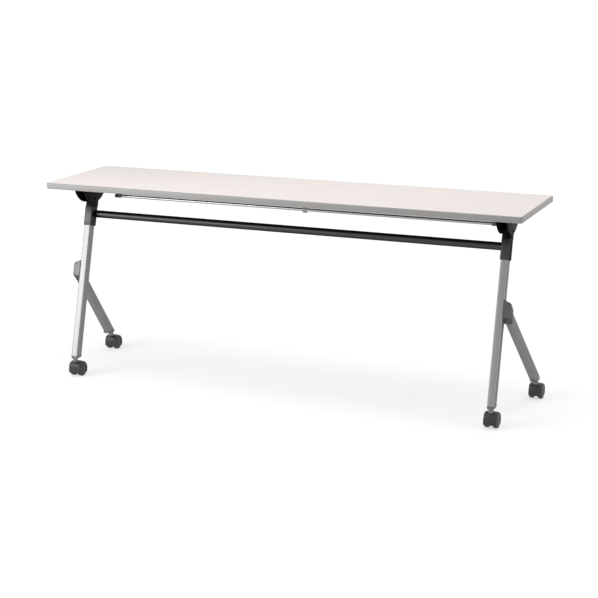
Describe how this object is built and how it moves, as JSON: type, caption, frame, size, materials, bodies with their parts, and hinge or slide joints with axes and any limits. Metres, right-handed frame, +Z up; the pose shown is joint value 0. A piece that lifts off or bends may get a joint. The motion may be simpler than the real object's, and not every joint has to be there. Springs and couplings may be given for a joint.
{
  "type": "flip top training table",
  "caption": "Long narrow meeting table whose top tips up on hinged leg heads, with leaning tube legs, a stretcher, an underside release bar and twin-wheel casters.",
  "frame": {"origin": "on the floor, under the middle of the table top", "axes": "+X along the table, +Y away from the front edge towards the side that lifts, +Z up"},
  "size_m": [1.8, 0.45, 0.74],
  "materials": {
    "laminate": "pale ivory melamine",
    "core_board": "particle board",
    "edge_band": "soft grey edge",
    "silver_paint": "silver powder coat",
    "grey_plastic": "moulded grey",
    "grey_casting": "grey painted casting",
    "black_paint": "semi-gloss black",
    "plated_steel": "bright zinc plate",
    "wheel_plastic": "moulded dark grey"
  },
  "bodies": {
    "frame": {"post_left": "silver_paint", "post_right": "silver_paint", "strut_left": "silver_paint", "strut_right": "silver_paint", "knee_block_left": "grey_casting", "knee_block_right": "grey_casting", "leg_head_left": "black_paint", "leg_head_right": "black_paint", "post_foot_left": "grey_plastic", "post_foot_right": "grey_plastic", "strut_foot_left": "grey_plastic", "strut_foot_right": "grey_plastic", "stretcher": "black_paint", "hinge_pin_left": "black_paint", "hinge_pin_right": "black_paint", "front_caster_stem_left": "plated_steel", "front_caster_stem_right": "plated_steel", "rear_caster_stem_left": "plated_steel", "rear_caster_stem_right": "plated_steel"},
    "table_top": {"top_board": "core_board", "top_laminate": "laminate", "edge_band": "edge_band", "hinge_bracket_left": "black_paint", "hinge_bracket_right": "black_paint", "bracket_screw_front_inner_left": "plated_steel", "bracket_screw_front_inner_right": "plated_steel", "bracket_screw_front_outer_left": "plated_steel", "bracket_screw_front_outer_right": "plated_steel", "bracket_screw_back_inner_left": "plated_steel", "bracket_screw_back_inner_right": "plated_steel", "bracket_screw_back_outer_left": "plated_steel", "bracket_screw_back_outer_right": "plated_steel", "lever_bracket_left": "black_paint", "lever_bracket_right": "black_paint", "lever_bracket_screw_left": "plated_steel", "lever_bracket_screw_right": "plated_steel", "lever_pin_left": "plated_steel", "lever_pin_right": "plated_steel"},
    "release": {"release_lever_left": "grey_plastic", "release_lever_right": "grey_plastic", "release_bar": "plated_steel", "bar_coupler": "grey_plastic"},
    "front_caster_left": {"front_caster_hood_left": "wheel_plastic", "front_caster_axle_left": "plated_steel"},
    "front_caster_right": {"front_caster_hood_right": "wheel_plastic", "front_caster_axle_right": "plated_steel"},
    "rear_caster_left": {"rear_caster_hood_left": "wheel_plastic", "rear_caster_axle_left": "plated_steel"},
    "rear_caster_right": {"rear_caster_hood_right": "wheel_plastic", "rear_caster_axle_right": "plated_steel"},
    "front_outer_wheel_left": {"front_wheel_outer_left": "wheel_plastic"},
    "front_outer_wheel_right": {"front_wheel_outer_right": "wheel_plastic"},
    "front_inner_wheel_left": {"front_wheel_inner_left": "wheel_plastic"},
    "front_inner_wheel_right": {"front_wheel_inner_right": "wheel_plastic"},
    "rear_outer_wheel_left": {"rear_wheel_outer_left": "wheel_plastic"},
    "rear_outer_wheel_right": {"rear_wheel_outer_right": "wheel_plastic"},
    "rear_inner_wheel_left": {"rear_wheel_inner_left": "wheel_plastic"},
    "rear_inner_wheel_right": {"rear_wheel_inner_right": "wheel_plastic"}
  },
  "joints": [
    {"name": "top_flip", "type": "hinge", "parent": "frame", "child": "table_top", "pos_m": [0, -0.054, 0.658], "axis": [1, 0, 0], "range_deg": [0, 90]},
    {"name": "release_lift", "type": "hinge", "parent": "table_top", "child": "release", "pos_m": [0, 0.095, 0.692], "axis": [-1, 0, 0], "range_deg": [0, 10], "stiffness_Nm_per_rad": 3},
    {"name": "front_left_swivel", "type": "hinge", "parent": "frame", "child": "front_caster_left", "pos_m": [-0.8085, -0.205, 0.05], "axis": [0, 0, 1], "continuous": true},
    {"name": "front_right_swivel", "type": "hinge", "parent": "frame", "child": "front_caster_right", "pos_m": [0.8085, -0.205, 0.05], "axis": [0, 0, 1], "continuous": true},
    {"name": "rear_left_swivel", "type": "hinge", "parent": "frame", "child": "rear_caster_left", "pos_m": [-0.87, 0.178, 0.05], "axis": [0, 0, 1], "continuous": true},
    {"name": "rear_right_swivel", "type": "hinge", "parent": "frame", "child": "rear_caster_right", "pos_m": [0.87, 0.178, 0.05], "axis": [0, 0, 1], "continuous": true},
    {"name": "front_left_outer_spin", "type": "hinge", "parent": "front_caster_left", "child": "front_outer_wheel_left", "pos_m": [-0.8245, -0.187, 0.025], "axis": [1, 0, 0], "continuous": true},
    {"name": "front_left_inner_spin", "type": "hinge", "parent": "front_caster_left", "child": "front_inner_wheel_left", "pos_m": [-0.7925, -0.187, 0.025], "axis": [1, 0, 0], "continuous": true},
    {"name": "front_right_outer_spin", "type": "hinge", "parent": "front_caster_right", "child": "front_outer_wheel_right", "pos_m": [0.8245, -0.187, 0.025], "axis": [1, 0, 0], "continuous": true},
    {"name": "front_right_inner_spin", "type": "hinge", "parent": "front_caster_right", "child": "front_inner_wheel_right", "pos_m": [0.7925, -0.187, 0.025], "axis": [1, 0, 0], "continuous": true},
    {"name": "rear_left_outer_spin", "type": "hinge", "parent": "rear_caster_left", "child": "rear_outer_wheel_left", "pos_m": [-0.886, 0.196, 0.025], "axis": [1, 0, 0], "continuous": true},
    {"name": "rear_left_inner_spin", "type": "hinge", "parent": "rear_caster_left", "child": "rear_inner_wheel_left", "pos_m": [-0.854, 0.196, 0.025], "axis": [1, 0, 0], "continuous": true},
    {"name": "rear_right_outer_spin", "type": "hinge", "parent": "rear_caster_right", "child": "rear_outer_wheel_right", "pos_m": [0.886, 0.196, 0.025], "axis": [1, 0, 0], "continuous": true},
    {"name": "rear_right_inner_spin", "type": "hinge", "parent": "rear_caster_right", "child": "rear_inner_wheel_right", "pos_m": [0.854, 0.196, 0.025], "axis": [1, 0, 0], "continuous": true}
  ]
}
